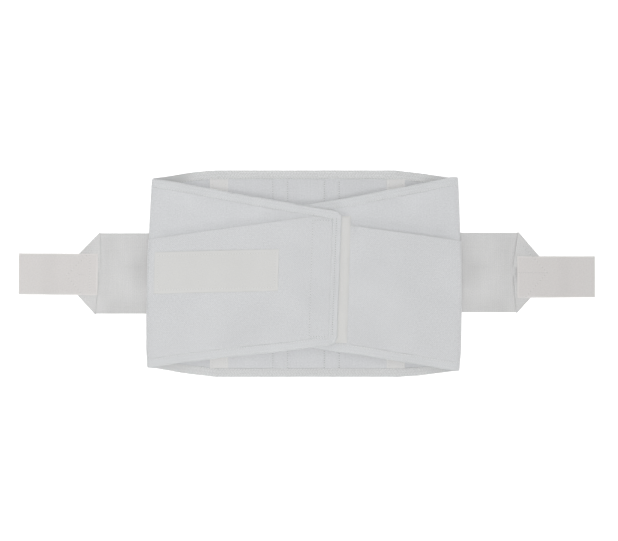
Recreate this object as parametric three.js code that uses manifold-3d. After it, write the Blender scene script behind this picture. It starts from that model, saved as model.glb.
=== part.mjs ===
// A lumbar back support belt, closed into a loop and lying flat on its back.
// Millimetres, +Z up. X runs along the belt and Y up the wearer's back. The origin is the middle of
// the back panel's outer face, which lies on the floor.
import * as THREE from "three";
import { mergeVertices } from "three/addons/utils/BufferGeometryUtils.js";
import Module from "manifold-3d";

const wasm = await Module();
wasm.setup();

// Clear space between pieces that are sewn together
const gap = 0.3;

// Layers of the loop, as distances from the middle of a panel's wall, outwards
const panelInner = -1.2;
const panelOuter = 1.45;
const boundHalf = 0.45;
const bindingThick = 0.7;
const overlayThick = 1.4;
const tapeThick = 1.4;
const patchThick = 1.2;
const bindingInner = boundHalf + gap;
const bindingOuter = bindingInner + bindingThick;
const overlayInner = panelOuter + gap;
const overlayOuter = overlayInner + overlayThick;
const patchInner = overlayOuter + gap;
const patchOuter = patchInner + patchThick;

// Edge binding, folded over a panel's thinned edge
const bindingDepth = 9.3;
const bindingWeb = 0.7;
const bindingReach = gap + bindingWeb;
const edgeChamfer = 0.4;
const edgeStep = bindingDepth + gap;

// Back panel and the stay channels sewn into it
const backHalfWidth = 107.4;
const backHalfHeight = 125 - bindingReach;
const channelCentres = [-33.5, 29.5];
const channelWidth = 18;
const channelRise = 0.8;
const channelSlope = 1.2;

// Tape over each inner seam
const seamTape = { width: 22, length: 224, thick: 0.9 };

// Bend of the loop: the side panels step up over the straps, then turn through the fold
const foldRadius = 7.7;
const stepFrom = 120;
const stepTo = 136;
const stepRise = 3.6;
const pinchFrom = 130;
const pinchTo = 175;
const pinchHeight = -20;
const cornerRadius = 7;

// Each side, with u as the distance from the middle of the back towards that side's fold. Past the
// middle, on the other side, u is negative. Edges are those of the bound cloth.
const left = {
  name: "left",
  side: -1,
  foldReach: 191,
  pinchTop: 4.6,
  pinchBottom: 0,
  backEdges: [
    { u: 107.4, top: 125, bottom: -125 },
    { u: 151.5, top: 120.4, bottom: -119 },
    { u: 181.8, top: 115.6, bottom: -113.6 },
  ],
  frontEdges: [
    { u: 181.8, top: 114.2, bottom: -110.8 },
    { u: 86.6, top: 95.4, bottom: -98.4 },
    { u: -38.2, top: 74.2, bottom: -82 },
  ],
  frontRise: { from: 110, to: 40, rise: 4.2 },
  endLean: 6,
  overlayTop: { atFold: 42.1, slope: 0.1374, fold: 191 },
};
const right = {
  name: "right",
  side: 1,
  foldReach: 185,
  pinchTop: 3.9,
  pinchBottom: 2.4,
  backEdges: [
    { u: 107.4, top: 125, bottom: -125 },
    { u: 135.6, top: 121.2, bottom: -122.8 },
    { u: 175.8, top: 115.4, bottom: -117.4 },
  ],
  frontEdges: [
    { u: 175.8, top: 113.6, bottom: -114.2 },
    { u: 93.4, top: 99, bottom: -101.4 },
    { u: -67.5, top: 70.8, bottom: -78.4 },
  ],
  frontRise: { from: 150, to: 60, rise: -2.45 },
  endLean: 0,
  overlayTop: { atFold: 39.4, slope: 0.138, fold: 185 },
};

// Tapes sewn on the left front
const patch = { fromU: 183.4, toU: 33.9, centreY: 2.7, width: 50, slope: 0.024 };
const closure = { fromU: -1.5, toU: -51.5, centreY: -7, width: 152, slope: 0 };
const overlayBackEnd = 150;

// Straps and their tabs, flat on the floor. The end of each strap is folded to a point.
const strapThick = 1.6;
const strapRoot = 138;
const foldSlit = 0.8;
const straps = [
  {
    name: "left",
    side: -1,
    top: 47.6,
    bottom: -47.4,
    foldTop: 251.8,
    foldBottom: 257,
    point: { u: 299.5, y: -1 },
    tab: { from: 253.6, to: 348.2, centreY: -0.9, width: 50, turn: -0.6 },
  },
  {
    name: "right",
    side: 1,
    top: 48.7,
    bottom: -46.7,
    foldTop: 256.2,
    foldBottom: 255.6,
    point: { u: 298, y: 1.1 },
    tab: { from: 254.8, to: 348.6, centreY: -4.4, width: 50, turn: -0.5 },
  },
];
const tabDropFrom = 2;
const tabDropLength = 24;

// Facets
const backCell = 8;
const frontCell = 14;
const foldSteps = 12;
const cornerSteps = 4;
const panelBays = 4;
const overlayBays = 4;
const tapeBays = 3;
const tabCell = 4;
const slopeReach = 0.5;
const mergeWithin = 1e-3;

// Finishes
const finishes = {
  panel: { color: 0xdfe1e4, roughness: 0.95, metalness: 0 },
  loop: { color: 0xdcdee1, roughness: 0.95, metalness: 0 },
  binding: { color: 0xdddfe0, roughness: 0.9, metalness: 0 },
  tape: { color: 0xe4e3de, roughness: 0.7, metalness: 0 },
  elastic: { color: 0xdad9d8, roughness: 0.9, metalness: 0 },
};

const belt = new THREE.Group();

function addPiece(name, geometry, finish) {
  const mesh = new THREE.Mesh(geometry, new THREE.MeshStandardMaterial(finishes[finish]));
  mesh.name = name;
  belt.add(mesh);
  return mesh;
}

// One closed body: shared corners merged, empty triangles dropped and faces turned out
function closed(geometry) {
  geometry.deleteAttribute("normal");
  geometry.deleteAttribute("uv");
  const merged = mergeVertices(geometry, mergeWithin);
  const corner = (i) => new THREE.Vector3().fromBufferAttribute(merged.attributes.position, i);
  const triangles = [];
  let volume = 0;
  for (let i = 0; i < merged.index.count; i += 3) {
    const [a, b, c] = [0, 1, 2].map((k) => merged.index.getX(i + k));
    if (a !== b && b !== c && c !== a) {
      triangles.push([a, b, c]);
      volume += corner(a).dot(corner(b).cross(corner(c)));
    }
  }
  const outward = volume > 0 ? triangles : triangles.map(([a, b, c]) => [a, c, b]);
  merged.setIndex(outward.flat());
  merged.computeVertexNormals();
  return merged;
}

// Moves every corner of a straight geometry to where place() lays it
function laid(geometry, place) {
  const points = geometry.attributes.position;
  const corner = new THREE.Vector3();
  for (let i = 0; i < points.count; i += 1) {
    corner.fromBufferAttribute(points, i);
    const at = place(corner);
    points.setXYZ(i, at.x, at.y, at.z);
  }
  return closed(geometry);
}

// A sheet of cloth: a block of columns x rows cells with an inner and an outer face
function sheet(columns, rows, place) {
  const cells = [columns - 1, rows - 1];
  const block = new THREE.BoxGeometry(...cells, 1, ...cells, 1);
  return laid(block, ({ x, y, z }) => {
    const column = Math.round(x + cells[0] / 2);
    const row = Math.round(y + cells[1] / 2);
    return place(column, row, z > 0);
  });
}

function spread(from, to, cell) {
  const count = Math.max(1, Math.round(Math.abs(to - from) / cell));
  return Array.from({ length: count + 1 }, (_, i) => THREE.MathUtils.lerp(from, to, i / count));
}

// Value of a table's column at u, straight between its rows
function fromTable(rows, column, u) {
  const rising = [...rows].sort((a, b) => a.u - b.u);
  const next = rising.findIndex((row) => row.u >= u);
  if (next === 0) return rising[0][column];
  if (next < 0) return rising[rising.length - 1][column];
  const [low, high] = [rising[next - 1], rising[next]];
  return THREE.MathUtils.mapLinear(u, low.u, high.u, low[column], high[column]);
}

// The run of one side's panel. s is the way along it from the seam: over the back, round the fold and
// along the front to the end.
function sideRun(cut) {
  const seam = backHalfWidth + gap / 2;
  const foldCentre = cut.foldReach - foldRadius - bindingOuter;
  const end = cut.frontEdges[cut.frontEdges.length - 1].u;
  const backLength = foldCentre - seam;
  const foldLength = Math.PI * foldRadius;
  const frontStart = backLength + foldLength;
  const endAt = frontStart + foldCentre - end;
  const foldHeight = panelOuter + stepRise + foldRadius;

  const uOfBack = (s) => seam + s;
  const uOfFront = (s) => foldCentre - (s - frontStart);
  const sOfBack = (u) => u - seam;
  const sOfFront = (u) => frontStart + foldCentre - u;

  const backHeight = (u) => panelOuter + stepRise * THREE.MathUtils.smoothstep(u, stepFrom, stepTo);
  const { from, to, rise } = cut.frontRise;
  const frontHeight = (u) => {
    const done = THREE.MathUtils.smoothstep(-u, -from, -to);
    return foldHeight + foldRadius + rise * done;
  };
  const slope = (height, u) => (height(u + slopeReach) - height(u - slopeReach)) / (2 * slopeReach);

  // A point of the middle of the wall and the outward direction there, both as (u, z)
  function section(s) {
    if (s <= backLength) {
      const u = uOfBack(s);
      const out = new THREE.Vector2(slope(backHeight, u), -1).normalize();
      return { at: new THREE.Vector2(u, backHeight(u)), out };
    }
    if (s < frontStart) {
      const angle = (s - backLength) / foldRadius - Math.PI / 2;
      const out = new THREE.Vector2(Math.cos(angle), Math.sin(angle));
      const centre = new THREE.Vector2(foldCentre, foldHeight);
      return { at: centre.addScaledVector(out, foldRadius), out };
    }
    const u = uOfFront(s);
    const out = new THREE.Vector2(-slope(frontHeight, u), 1).normalize();
    return { at: new THREE.Vector2(u, frontHeight(u)), out };
  }

  function edge(column, s) {
    const trim = column === "top" ? -bindingReach : bindingReach;
    if (s <= backLength) return fromTable(cut.backEdges, column, uOfBack(s)) + trim;
    if (s >= frontStart) return fromTable(cut.frontEdges, column, uOfFront(s)) + trim;
    const before = fromTable(cut.backEdges, column, foldCentre);
    const after = fromTable(cut.frontEdges, column, foldCentre);
    return THREE.MathUtils.mapLinear(s, backLength, frontStart, before, after) + trim;
  }

  // How far the fold line is drawn in towards the middle at height y
  function pinch(y) {
    if (y > pinchHeight) return cut.pinchTop * ((y - pinchHeight) / (backHalfHeight - pinchHeight)) ** 2;
    return cut.pinchBottom * ((pinchHeight - y) / (backHalfHeight + pinchHeight)) ** 2;
  }

  // The belt's shape: a point of the flat pattern (s, y), at depth n in the layers
  const endTop = edge("top", endAt);
  const endBottom = edge("bottom", endAt);
  function point(s, y, n) {
    const lean = Math.max(0, (s - frontStart) / (endAt - frontStart)) * cut.endLean;
    const across = (y - (endTop + endBottom) / 2) / (endTop - endBottom);
    const { at, out } = section(s + lean * across);
    const drawn = pinch(y) * THREE.MathUtils.smoothstep(at.x, pinchFrom, pinchTo);
    const u = at.x + out.x * n - drawn;
    return new THREE.Vector3(cut.side * u, y, at.y + out.y * n);
  }

  return { ...cut, backLength, frontStart, endAt, sOfBack, sOfFront, uOfFront, edge, point };
}

// Columns of a side's pattern from the seam to just short of the bound end
function runColumns(run) {
  const foldCell = (run.frontStart - run.backLength) / foldSteps;
  return [
    ...spread(0, run.backLength, backCell),
    ...spread(run.backLength, run.frontStart, foldCell).slice(1),
    ...spread(run.frontStart, run.endAt - edgeStep - edgeChamfer, frontCell).slice(1),
  ];
}

// How far a corner's rounding cuts in, at a distance from the end of the panel
function cornerInset(fromEnd) {
  if (fromEnd >= cornerRadius) return 0;
  return cornerRadius - Math.sqrt(cornerRadius ** 2 - (cornerRadius - fromEnd) ** 2);
}

function cornerColumns(run) {
  return Array.from({ length: cornerSteps + 1 }, (_, i) => {
    const angle = (i / cornerSteps) * (Math.PI / 2);
    return run.endAt - cornerRadius * (1 - Math.sin(angle));
  });
}

// Side and front panel: a wall that is thinned at its bound edges
function panelGeometry(run) {
  const full = runColumns(run).map((s) => ({ s, thin: false }));
  const thinned = [run.endAt - edgeStep, ...cornerColumns(run)].map((s) => ({ s, thin: true }));
  const columns = [...full, ...thinned];
  const edgeRows = [{ in: 0, thin: true }, { in: edgeStep, thin: true }, { in: edgeStep + edgeChamfer }];
  const middle = Array.from({ length: panelBays - 1 }, (_, i) => ({ share: (i + 1) / panelBays }));
  const rows = [
    ...edgeRows.map((row) => ({ ...row, from: "bottom" })),
    ...middle,
    ...[...edgeRows].reverse().map((row) => ({ ...row, from: "top" })),
  ];
  return sheet(columns.length, rows.length, (i, j, outer) => {
    const { s, thin } = columns[i];
    const row = rows[j];
    const top = run.edge("top", s);
    const bottom = run.edge("bottom", s);
    const inset = row.in === 0 ? cornerInset(run.endAt - s) : 0;
    const inner = edgeStep + edgeChamfer;
    let y = THREE.MathUtils.lerp(bottom + inner, top - inner, row.share ?? 0);
    if (row.from === "bottom") y = bottom + row.in + inset;
    if (row.from === "top") y = top - row.in - inset;
    const half = outer ? boundHalf : -boundHalf;
    const face = outer ? panelOuter : panelInner;
    return run.point(s, y, thin || row.thin ? half : face);
  });
}

// Outer band of loop cloth: slanted at the top, and along the binding at the bottom and the end
function overlayGeometry(run) {
  const { atFold, slope, fold } = run.overlayTop;
  const start = run.sOfBack(overlayBackEnd);
  const columns = [start, ...runColumns(run).filter((s) => s > start + 1)];
  return sheet(columns.length, overlayBays + 1, (i, j, outer) => {
    const s = columns[i];
    const inner = edgeStep + edgeChamfer;
    const along = s < run.frontStart ? fold : run.uOfFront(s);
    const top = Math.min(atFold + slope * (fold - along), run.edge("top", s) - inner);
    const bottom = run.edge("bottom", s) + inner;
    const y = THREE.MathUtils.lerp(bottom, top, j / overlayBays);
    return run.point(s, y, outer ? overlayOuter : overlayInner);
  });
}

// Section of the binding: x goes in from the panel's edge and y is the depth in the layers
function bindingSection() {
  const round = bindingOuter / 2;
  return new THREE.Shape([
    new THREE.Vector2(bindingDepth, bindingOuter),
    new THREE.Vector2(0, bindingOuter),
    new THREE.Vector2(-bindingReach, round),
    new THREE.Vector2(-bindingReach, -round),
    new THREE.Vector2(0, -bindingOuter),
    new THREE.Vector2(bindingDepth, -bindingOuter),
    new THREE.Vector2(bindingDepth, -bindingInner),
    new THREE.Vector2(-gap, -bindingInner),
    new THREE.Vector2(-gap, bindingInner),
    new THREE.Vector2(bindingDepth, bindingInner),
  ]);
}

// Way of the binding round a panel: its edge points, each with the point that the binding reaches in to
function bindingWay(run) {
  const mitre = run.endAt - bindingDepth;
  const straight = [...runColumns(run).filter((s) => s < mitre - 1), mitre];
  const along = (column, turn) => {
    const reachIn = (s) => new THREE.Vector2(s, run.edge(column, s) - turn * bindingDepth);
    const onEdge = (s, inset) => new THREE.Vector2(s, run.edge(column, s) - turn * inset);
    const corner = cornerColumns(run);
    return [
      ...straight.map((s) => ({ edge: onEdge(s, 0), inner: reachIn(s) })),
      ...corner.map((s) => ({ edge: onEdge(s, cornerInset(run.endAt - s)), inner: reachIn(mitre) })),
    ];
  };
  const way = [...along("top", 1), ...along("bottom", -1).reverse()];
  way.forEach((station, i) => {
    const before = way[Math.max(0, i - 1)].edge;
    const after = way[Math.min(way.length - 1, i + 1)].edge;
    const ahead = after.clone().sub(before).normalize();
    station.inward = new THREE.Vector2(ahead.y, -ahead.x);
  });
  return way;
}

function bindingGeometry(run) {
  const way = bindingWay(run);
  const steps = way.length - 1;
  const bar = new THREE.ExtrudeGeometry(bindingSection(), { depth: steps, steps, bevelEnabled: false });
  return laid(bar, ({ x, y, z }) => {
    const { edge, inner, inward } = way[Math.round(z)];
    const onPattern = edge.clone();
    if (x > 0) onPattern.lerp(inner, x / bindingDepth);
    else onPattern.addScaledVector(inward, x);
    return run.point(onPattern.x, onPattern.y, y);
  });
}

function backPanelGeometry() {
  const half = backHalfWidth - gap / 2;
  const columns = [{ x: -half, rise: 0 }];
  channelCentres.forEach((centre) => {
    const low = centre - channelWidth / 2;
    const high = centre + channelWidth / 2;
    columns.push({ x: low, rise: 0 }, { x: low + channelSlope, rise: channelRise });
    columns.push({ x: high - channelSlope, rise: channelRise }, { x: high, rise: 0 });
  });
  columns.push({ x: half, rise: 0 });
  const edgeRows = [{ y: backHalfHeight, thin: true }, { y: backHalfHeight - edgeStep, thin: true }];
  const inner = { y: backHalfHeight - edgeStep - edgeChamfer, thin: false };
  const upper = [...edgeRows, inner];
  const rows = [...upper.map((row) => ({ ...row, y: -row.y })), ...[...upper].reverse()];
  return sheet(columns.length, rows.length, (i, j, outer) => {
    const { x, rise } = columns[i];
    const { y, thin } = rows[j];
    const full = outer ? panelOuter : panelInner - rise;
    const thinned = outer ? boundHalf : -boundHalf;
    return new THREE.Vector3(x, y, panelOuter - (thin ? thinned : full));
  });
}

function backBindingGeometry(turn) {
  const length = 2 * backHalfWidth - gap;
  const bar = new THREE.ExtrudeGeometry(bindingSection(), { depth: length, steps: 1, bevelEnabled: false });
  return laid(bar, ({ x, y, z }) => {
    return new THREE.Vector3(z - length / 2, turn * (backHalfHeight - x), panelOuter - y);
  });
}

// A tape on the pattern of one side, in the run's own columns so that it follows what it is sewn to.
// It climbs by its slope from end to end.
function tapeGeometry(run, { fromU, toU, centreY, width, slope }, inner, outer) {
  const [start, end] = [run.sOfFront(fromU), run.sOfFront(toU)];
  const columns = [start, ...runColumns(run).filter((s) => s > start + 1 && s < end - 1), end];
  const rows = spread(-width / 2, width / 2, width / tapeBays);
  return sheet(columns.length, rows.length, (i, j, outside) => {
    const climb = slope * (columns[i] - (start + end) / 2);
    return run.point(columns[i], centreY + climb + rows[j], outside ? outer : inner);
  });
}

// Joins closed geometries into one solid
function joined(...geometries) {
  const solids = geometries.map((geometry) => new wasm.Manifold(new wasm.Mesh({
    numProp: 3,
    vertProperties: new Float32Array(geometry.attributes.position.array),
    triVerts: new Uint32Array(geometry.index.array),
  })));
  const { vertProperties, triVerts } = solids.reduce((sum, solid) => sum.add(solid)).getMesh();
  const geometry = new THREE.BufferGeometry();
  geometry.setAttribute("position", new THREE.BufferAttribute(vertProperties, 3));
  geometry.setIndex(new THREE.BufferAttribute(triVerts, 1));
  return closed(geometry);
}

// A flat plate of a strap, from its outline in (u, y)
function plate(strap, outline, bottom, top) {
  const shape = new THREE.Shape(outline.map(([u, y]) => new THREE.Vector2(u, y)));
  const flat = new THREE.ExtrudeGeometry(shape, { depth: top - bottom, bevelEnabled: false });
  return laid(flat, ({ x, y, z }) => new THREE.Vector3(strap.side * x, y, bottom + z));
}

// Elastic strap: the band, and the two corners folded in over it to make the point
function strapGeometry(strap) {
  const { top, bottom, foldTop, foldBottom, point } = strap;
  const root = [[strapRoot, top], [strapRoot, bottom]];
  const band = [...root, [foldBottom, bottom], [point.u, point.y], [foldTop, top]];
  const middleFold = THREE.MathUtils.mapLinear(point.y, bottom, top, foldBottom, foldTop);
  const upperSlit = point.y + foldSlit / 2;
  const lowerSlit = point.y - foldSlit / 2;
  const tip = point.u - foldSlit;
  const upper = [[middleFold, upperSlit], [tip, upperSlit], [foldTop, top]];
  const lower = [[middleFold, lowerSlit], [foldBottom, bottom], [tip, lowerSlit]];
  const sunk = strapThick / 2;
  return joined(
    plate(strap, band, 0, strapThick),
    plate(strap, upper, sunk, 2 * strapThick),
    plate(strap, lower, sunk, 2 * strapThick),
  );
}

// Hook tape tab: sewn on the folded point, with its free end laid down on the floor
function tabGeometry(strap) {
  const { from, to, centreY, width, turn } = strap.tab;
  const stations = spread(from, to, tabCell);
  const high = 2 * strapThick + gap;
  const dropAt = strap.point.u + tabDropFrom;
  const middle = new THREE.Vector2((from + to) / 2, centreY);
  return sheet(stations.length, 2, (i, j, outer) => {
    const at = new THREE.Vector2(stations[i], centreY + (j - 0.5) * width);
    at.rotateAround(middle, THREE.MathUtils.degToRad(turn));
    const low = THREE.MathUtils.smoothstep(stations[i], dropAt, dropAt + tabDropLength);
    const under = high * (1 - low);
    return new THREE.Vector3(strap.side * at.x, at.y, outer ? under + tapeThick : under);
  });
}

const leftRun = sideRun(left);
const rightRun = sideRun(right);

addPiece("back_panel", backPanelGeometry(), "panel");
addPiece("back_binding_top", backBindingGeometry(1), "binding");
addPiece("back_binding_bottom", backBindingGeometry(-1), "binding");

for (const run of [leftRun, rightRun]) {
  addPiece(`${run.name}_panel`, panelGeometry(run), "panel");
  addPiece(`${run.name}_overlay`, overlayGeometry(run), "loop");
  addPiece(`${run.name}_binding`, bindingGeometry(run), "binding");
  const strip = closed(new THREE.BoxGeometry(seamTape.width, seamTape.length, seamTape.thick));
  const tape = addPiece(`${run.name}_seam_tape`, strip, "tape");
  const underside = panelOuter - panelInner + gap;
  tape.position.set(run.side * backHalfWidth, 0, underside + seamTape.thick / 2);
}

addPiece("front_patch", tapeGeometry(leftRun, patch, patchInner, patchOuter), "tape");
const closureTop = -bindingOuter - gap;
addPiece("closure_tape", tapeGeometry(leftRun, closure, closureTop - tapeThick, closureTop), "tape");

for (const strap of straps) {
  addPiece(`${strap.name}_strap`, strapGeometry(strap), "elastic");
  addPiece(`${strap.name}_tab`, tabGeometry(strap), "tape");
}

export default belt;
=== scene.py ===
import math
from types import SimpleNamespace

import bmesh
import bpy
import numpy as np
from mathutils import Matrix, Vector, noise


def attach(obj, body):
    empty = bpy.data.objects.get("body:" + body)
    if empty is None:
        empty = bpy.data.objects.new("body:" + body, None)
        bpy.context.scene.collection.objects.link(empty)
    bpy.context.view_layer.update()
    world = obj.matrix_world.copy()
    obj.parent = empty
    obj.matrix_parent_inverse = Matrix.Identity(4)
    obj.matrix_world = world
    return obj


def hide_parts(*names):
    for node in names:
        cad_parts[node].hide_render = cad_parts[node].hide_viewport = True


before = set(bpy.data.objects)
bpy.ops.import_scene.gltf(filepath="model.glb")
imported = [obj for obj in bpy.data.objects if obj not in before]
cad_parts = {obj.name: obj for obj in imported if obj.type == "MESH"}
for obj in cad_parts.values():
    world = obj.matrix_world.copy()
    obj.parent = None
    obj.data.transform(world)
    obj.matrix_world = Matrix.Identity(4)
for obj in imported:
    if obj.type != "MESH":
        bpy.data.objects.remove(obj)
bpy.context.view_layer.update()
mm = 0.001  # sizes below are in millimetres, meshes in metres
print("frame loaded,", len(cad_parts), "solids")


# Small helpers

def mix(a, b, share):
    return a + (b - a) * share


def easeStep(x, low, high):
    t = min(1.0, max(0.0, (x - low) / (high - low)))
    return t * t * (3 - 2 * t)


def evenSteps(start, end, cell):
    count = max(1, round(abs(end - start) / cell))
    return [mix(start, end, i / count) for i in range(count + 1)]


def wobble(x, y, size, seed=0.0):  # slow random value from -1 to 1
    return noise.noise(Vector((x / size, y / size, seed)))


# Shader node groups

def linkTo(tree, value, socket):
    if isinstance(value, bpy.types.NodeSocket):
        tree.links.new(value, socket)
    else:
        socket.default_value = value


def mathNode(tree, operation, *values):
    node = tree.nodes.new("ShaderNodeMath")
    node.operation = operation
    for value, socket in zip(values, node.inputs):
        linkTo(tree, value, socket)
    return node.outputs[0]


def noiseNode(tree, vector, scale, detail, rough=0.55):
    node = tree.nodes.new("ShaderNodeTexNoise")
    node.inputs["Detail"].default_value = detail
    node.inputs["Roughness"].default_value = rough
    linkTo(tree, vector, node.inputs["Vector"])
    linkTo(tree, scale, node.inputs["Scale"])
    return node.outputs["Fac"]


def newGroup(name, inputs, outputs):
    tree = bpy.data.node_groups.new(name, "ShaderNodeTree")
    tree.interface.new_socket("Vector", in_out="INPUT", socket_type="NodeSocketVector")
    for label, value in inputs.items():
        made = tree.interface.new_socket(label, in_out="INPUT", socket_type="NodeSocketFloat")
        made.default_value = value
    for label in outputs:
        tree.interface.new_socket(label, in_out="OUTPUT", socket_type="NodeSocketFloat")
    return tree, tree.nodes.new("NodeGroupInput").outputs, tree.nodes.new("NodeGroupOutput").inputs


def waveAlong(tree, distance, pitch, start=0.0):  # 0 to 1 and back in each pitch
    turns = mathNode(tree, "DIVIDE", distance, pitch)
    angle = mathNode(tree, "MULTIPLY_ADD", turns, 2 * math.pi, start)
    return mathNode(tree, "MULTIPLY_ADD", mathNode(tree, "SINE", angle), 0.5, 0.5)


def weightedSum(tree, *pairs):  # each pair is a value and its share
    total = 0.0
    for value, share in reversed(pairs):
        total = mathNode(tree, "MULTIPLY_ADD", value, share, total)
    return total


def patternAxes(tree, vector):  # along the pattern and up it
    node = tree.nodes.new("ShaderNodeSeparateXYZ")
    tree.links.new(vector, node.inputs[0])
    return node.outputs[0], node.outputs[1]


def twillGroup():
    tree, given, out = newGroup("twill", {"Pitch": 0.0026, "Waver": 0.5}, ["Height"])
    along, up = patternAxes(tree, given["Vector"])
    waver = noiseNode(tree, given["Vector"], 420.0, 2.0)
    shift = mathNode(tree, "MULTIPLY", mathNode(tree, "MULTIPLY", waver, given["Waver"]), given["Pitch"])
    diagonal = mathNode(tree, "ADD", mathNode(tree, "ADD", along, up), shift)
    ridge = waveAlong(tree, diagonal, given["Pitch"])
    overPitch = mathNode(tree, "MULTIPLY", given["Pitch"], 0.84)
    overs = waveAlong(tree, mathNode(tree, "SUBTRACT", along, up), overPitch)
    tree.links.new(weightedSum(tree, (ridge, 0.55), (overs, 0.45)), out["Height"])
    return tree


def fuzzGroup():
    tree, given, out = newGroup("fuzz", {"Size": 0.002}, ["Speckle", "Cloud"])
    scale = mathNode(tree, "DIVIDE", 1.0, given["Size"])
    speckle = mathNode(tree, "MULTIPLY_ADD", noiseNode(tree, given["Vector"], scale, 3.0, 0.7), 2.4, -0.7)
    cloud = mathNode(tree, "MULTIPLY_ADD", noiseNode(tree, given["Vector"], 16.0, 2.0), 2.0, -0.5)
    tree.links.new(speckle, out["Speckle"])
    tree.links.new(cloud, out["Cloud"])
    return tree


def ribGroup():
    tree, given, out = newGroup("ribs", {"Pitch": 0.0016, "Cross": 0.001}, ["Height"])
    along, up = patternAxes(tree, given["Vector"])

    def drawnOut(scale):  # noise that is drawn out along the threads
        node = tree.nodes.new("ShaderNodeVectorMath")
        node.operation = "MULTIPLY"
        node.inputs[1].default_value = scale
        tree.links.new(given["Vector"], node.inputs[0])
        return noiseNode(tree, node.outputs[0], 520.0, 2.0)

    uneven = drawnOut((1.0, 0.06, 1.0))
    streak = drawnOut((0.05, 0.8, 1.0))
    rib = waveAlong(tree, along, given["Pitch"])
    pick = waveAlong(tree, up, given["Cross"])
    height = weightedSum(tree, (uneven, 0.4), (streak, 0.3), (rib, 0.13), (pick, 0.17))
    tree.links.new(height, out["Height"])
    return tree


def braidGroup():
    tree, given, out = newGroup("braid", {"Pitch": 0.0029, "Width": 0.0036}, ["Height"])
    along, up = patternAxes(tree, given["Vector"])
    zigzag = mathNode(tree, "PINGPONG", up, given["Width"])
    chevron = waveAlong(tree, mathNode(tree, "ADD", along, zigzag), given["Pitch"])
    column = waveAlong(tree, up, given["Width"], 0.6)
    tree.links.new(weightedSum(tree, (chevron, 0.7), (column, 0.3)), out["Height"])
    return tree


groups = {"twill": twillGroup(), "fuzz": fuzzGroup(), "ribs": ribGroup(), "braid": braidGroup()}
print("node groups made:", ", ".join(groups))


# Materials. Each finish: light and dark thread, its weave, how much of the weave shows in the colour,
# size of its speckle, depth of the bump in mm, roughness from valley to ridge, and the tone of a tape's
# woven border and of painted shade on cut edges and bindings, as a share of the light thread
knit = {
    "weave": ("ribs", {"Pitch": 0.0017}), "showWeave": 0.45, "speckle": 0.0017, "depth": 0.12,
    "rough": (0.98, 0.86),
}
hookTape = {
    "weave": ("twill", {"Pitch": 0.0011}), "showWeave": 0.3, "speckle": 0.0016, "depth": 0.1,
    "rough": (0.8, 0.6), "sheen": 0.06,
}
finishes = {
    "panelCloth": {**knit, "light": (0.624, 0.631, 0.642), "dark": (0.404, 0.411, 0.422), "sheen": 0.8},
    # a darker copy of the panel knit for the inner face: painted shade for the recess inside the fold
    "shadedInsideCloth": {**knit, "light": (0.603, 0.610, 0.623), "dark": (0.391, 0.398, 0.410), "sheen": 0.2},
    # a paler copy of the panel knit for the back panel: painted light that lifts the low lamps' shadow in the
    # pockets
    "litLiningCloth": {**knit, "light": (0.643, 0.649, 0.660), "dark": (0.417, 0.423, 0.434), "sheen": 0.5},
    # the loop cloth's edge tone is painted shade along the overlays' free top edges
    "loopCloth": {
        "light": (0.621, 0.627, 0.636), "dark": (0.397, 0.403, 0.412), "weave": ("twill", {"Pitch": 0.0027}),
        "showWeave": 0.4, "speckle": 0.0018, "depth": 0.18, "rough": (1.0, 0.88), "sheen": 0.8,
        "borderAndPaintedShade": 0.68,
    },
    # the bindings' edge tone is painted shade inside the folds, along the bottom and where one front laps the
    # other
    "bindingCloth": {
        "light": (0.696, 0.702, 0.703), "dark": (0.396, 0.400, 0.401), "weave": ("braid", {"Pitch": 0.0034}),
        "showWeave": 0.38, "speckle": 0.0017, "depth": 0.2, "rough": (0.95, 0.8), "sheen": 0.2,
        "borderAndPaintedShade": 0.6,
    },
    "frontBinding": {
        "light": (0.602, 0.610, 0.618), "dark": (0.430, 0.438, 0.446), "weave": ("braid", {"Pitch": 0.0029}),
        "showWeave": 0.4, "speckle": 0.0017, "depth": 0.12, "rough": (0.95, 0.8), "sheen": 0.6,
        "borderAndPaintedShade": 0.7,
    },
    "creamTape": {**hookTape, "light": (0.567, 0.566, 0.557), "dark": (0.493, 0.492, 0.484), "borderAndPaintedShade": 0.96},
    "seamCloth": {
        "light": (0.637, 0.634, 0.629), "dark": (0.505, 0.502, 0.498), "weave": ("twill", {"Pitch": 0.0016}),
        "showWeave": 0.4, "speckle": 0.0016, "depth": 0.1, "rough": (0.85, 0.7), "sheen": 0.06,
        "borderAndPaintedShade": 0.93,
    },
    "tabTape": {**hookTape, "light": (0.588, 0.571, 0.562), "dark": (0.481, 0.464, 0.456), "borderAndPaintedShade": 1.0},
    "elasticWeb": {
        "light": (0.655, 0.653, 0.650), "dark": (0.348, 0.348, 0.347), "weave": ("ribs", {"Pitch": 0.0024}),
        "showWeave": 0.55, "speckle": 0.0013, "depth": 0.2, "rough": (0.95, 0.8), "sheen": 0.1, "cloud": 0.3,
    },
}


def mixColour(tree, share, dark, light):
    node = tree.nodes.new("ShaderNodeMix")
    node.data_type = "RGBA"
    linkTo(tree, share, node.inputs["Factor"])
    for value, socket in ((dark, node.inputs["A"]), (light, node.inputs["B"])):
        linkTo(tree, value if isinstance(value, bpy.types.NodeSocket) else (*value, 1), socket)
    return node.outputs["Result"]


def placeGroup(tree, name, vector, values):
    node = tree.nodes.new("ShaderNodeGroup")
    node.node_tree = groups[name]
    tree.links.new(vector, node.inputs["Vector"])
    for label, value in values.items():
        node.inputs[label].default_value = value
    return node.outputs


def newMaterial(name):
    material = bpy.data.materials.new(name)
    material.use_nodes = True
    shader = material.node_tree.nodes["Principled BSDF"].inputs
    shader["Specular IOR Level"].default_value = 0.2
    return material, material.node_tree, shader


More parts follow.
